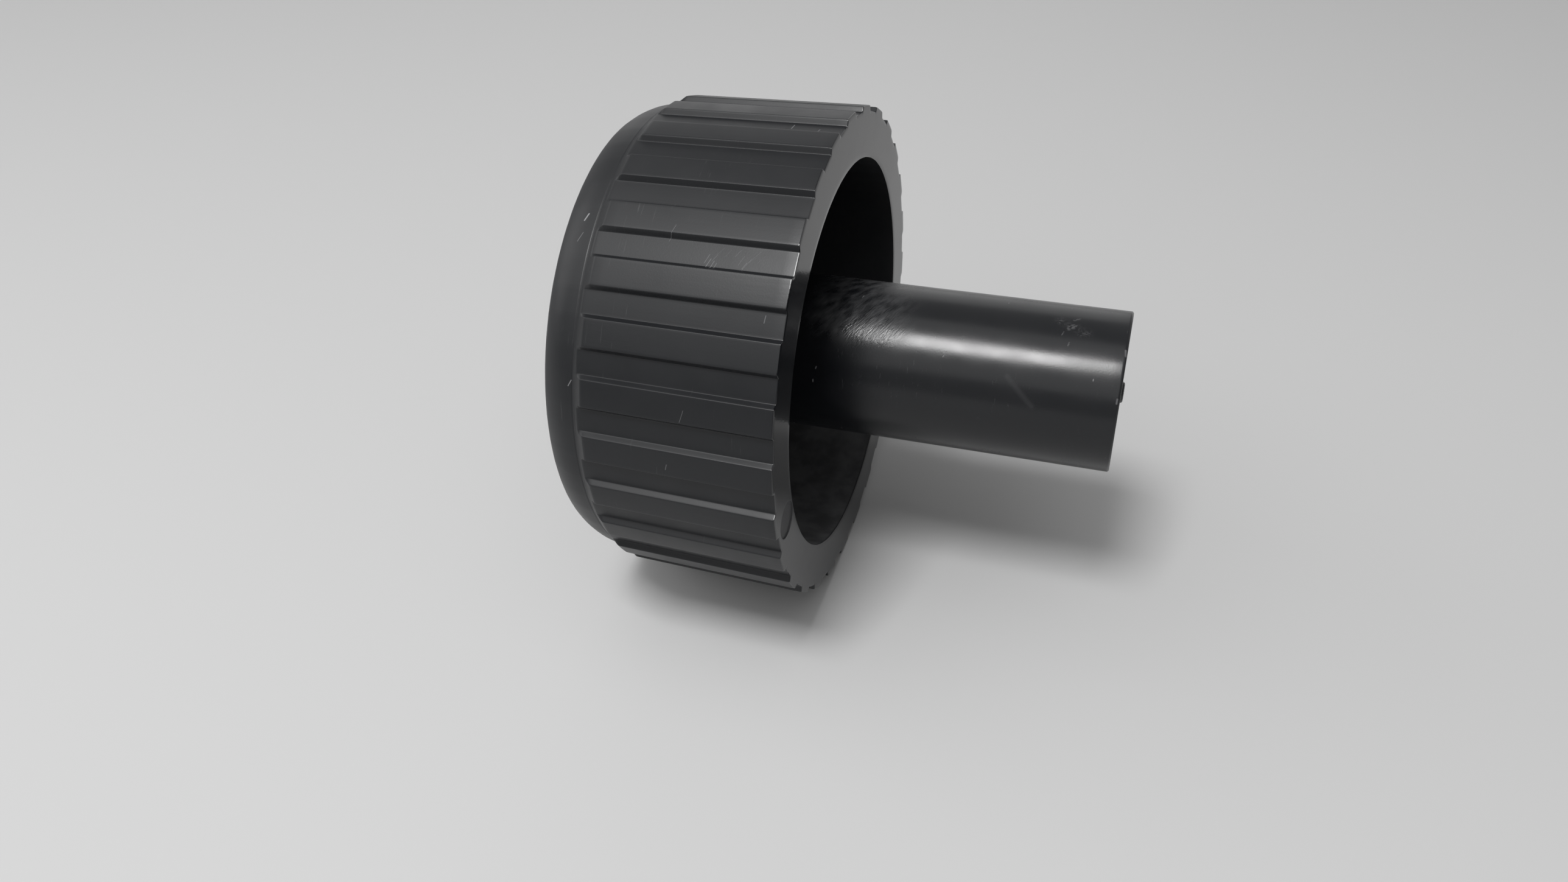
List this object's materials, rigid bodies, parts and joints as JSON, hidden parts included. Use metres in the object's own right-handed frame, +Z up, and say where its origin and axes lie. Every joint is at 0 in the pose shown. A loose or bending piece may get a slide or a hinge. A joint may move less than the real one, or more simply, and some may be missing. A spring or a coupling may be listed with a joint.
{
  "type": "adjustment knob",
  "caption": "Round hand knob with a ribbed grip and flat rounded cap, hollow behind, on a plain solid round stem that plugs into a sleeve or hollow shaft.",
  "frame": {"origin": "centre of the open rim's plane, on the stem's axis", "axes": "+X along the stem towards its free end, +Z up as the knob lies on its side"},
  "size_m": [0.0388, 0.038, 0.038],
  "materials": {
    "black_plastic": "satin"
  },
  "bodies": {
    "root": {"knob": "black_plastic"}
  },
  "joints": []
}
